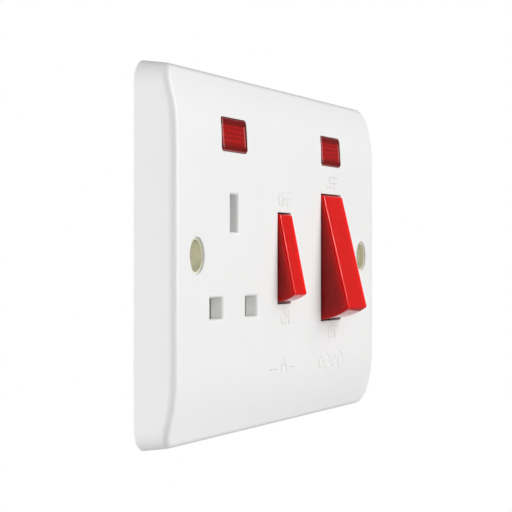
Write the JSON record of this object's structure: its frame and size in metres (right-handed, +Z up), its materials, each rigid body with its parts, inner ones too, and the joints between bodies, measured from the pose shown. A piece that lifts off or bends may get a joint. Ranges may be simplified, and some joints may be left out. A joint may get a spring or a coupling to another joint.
{
  "type": "cooker control unit",
  "caption": "White moulded wall plate with a switched pin socket, a wide cooker isolating switch, red rockers, neon indicators and rear screw terminals.",
  "frame": {"origin": "middle of the plate's back rim, on the wall's surface, between the two fixing holes", "axes": "+X to the right seen from the front, +Y into the wall, +Z up"},
  "size_m": [0.147, 0.0364, 0.087],
  "materials": {
    "plate_plastic": "smooth moulded white",
    "base_plastic": "moulded off-white",
    "rocker_plastic": "glossy moulded red",
    "lens": "clear red",
    "shutter_plastic": "moulded pale grey",
    "plunger_plastic": "moulded white",
    "ceramic": "lacquered tan",
    "lamp_glass": "clear glass",
    "brass": "plain brass",
    "contact_metal": "rolled strip",
    "screw_metal": "plated",
    "spring_steel": "drawn wire"
  },
  "bodies": {
    "housing": {"front_plate": "plate_plastic", "base_moulding": "base_plastic", "fixing_bushes": "brass", "socket_neon_lens": "lens", "cooker_neon_lens": "lens", "socket_neon_lamp": "lamp_glass", "cooker_neon_lamp": "lamp_glass", "socket_neon_resistor": "ceramic", "cooker_neon_resistor": "ceramic", "shutter_spring": "spring_steel", "supply_line_strap": "contact_metal", "supply_neutral_strap": "contact_metal", "load_line_strap": "contact_metal", "load_neutral_strap": "contact_metal", "line_contact": "contact_metal", "neutral_contact": "contact_metal", "earth_contact": "contact_metal", "line_feed": "contact_metal", "supply_line_terminal": "brass", "supply_neutral_terminal": "brass", "load_line_terminal": "brass", "load_neutral_terminal": "brass", "earth_terminal": "brass", "terminal_screws": "screw_metal", "assembly_screws": "screw_metal"},
    "socket_rocker_body": {"socket_rocker": "rocker_plastic", "socket_plunger": "plunger_plastic", "socket_plunger_spring": "spring_steel"},
    "cooker_rocker_body": {"cooker_rocker": "rocker_plastic", "cooker_line_plunger": "plunger_plastic", "cooker_line_plunger_spring": "spring_steel", "cooker_neutral_plunger": "plunger_plastic", "cooker_neutral_plunger_spring": "spring_steel"},
    "socket_see_saw": {"socket_moving_contact": "contact_metal"},
    "cooker_line_see_saw": {"cooker_line_moving_contact": "contact_metal"},
    "cooker_neutral_see_saw": {"cooker_neutral_moving_contact": "contact_metal"},
    "shutter_body": {"shutter": "shutter_plastic"}
  },
  "joints": [
    {"name": "socket_rocker_tilt", "type": "hinge", "parent": "housing", "child": "socket_rocker_body", "pos_m": [-0.00375, -0.0076, -0.0006], "axis": [1, 0, 0], "range_deg": [0, 22.8]},
    {"name": "cooker_rocker_tilt", "type": "hinge", "parent": "housing", "child": "cooker_rocker_body", "pos_m": [0.0332, -0.0076, -0.00035], "axis": [1, 0, 0], "range_deg": [0, 26.8]},
    {"name": "socket_contact_rock", "type": "hinge", "parent": "housing", "child": "socket_see_saw", "pos_m": [-0.00375, 0.0028, -0.0006], "axis": [1, 0, 0], "range_deg": [-16.1, 0.1]},
    {"name": "cooker_line_contact_rock", "type": "hinge", "parent": "housing", "child": "cooker_line_see_saw", "pos_m": [0.029, 0.0046, -0.00035], "axis": [1, 0, 0], "range_deg": [-16.1, 0.1]},
    {"name": "cooker_neutral_contact_rock", "type": "hinge", "parent": "housing", "child": "cooker_neutral_see_saw", "pos_m": [0.0374, 0.0046, -0.00035], "axis": [1, 0, 0], "range_deg": [-16.1, 0.1]},
    {"name": "shutter_slide", "type": "slide", "parent": "housing", "child": "shutter_body", "axis": [0, 0, -1], "range_m": [0, 0.006], "stiffness_N_per_m": 120, "springref_m": -0.004, "deforming": ["shutter_spring"]}
  ],
  "couplings": [
    {"joint": "socket_contact_rock", "follows": "socket_rocker_tilt", "ratio": -0.70175},
    {"joint": "cooker_line_contact_rock", "follows": "cooker_rocker_tilt", "ratio": -0.59701},
    {"joint": "cooker_neutral_contact_rock", "follows": "cooker_rocker_tilt", "ratio": -0.59701}
  ]
}
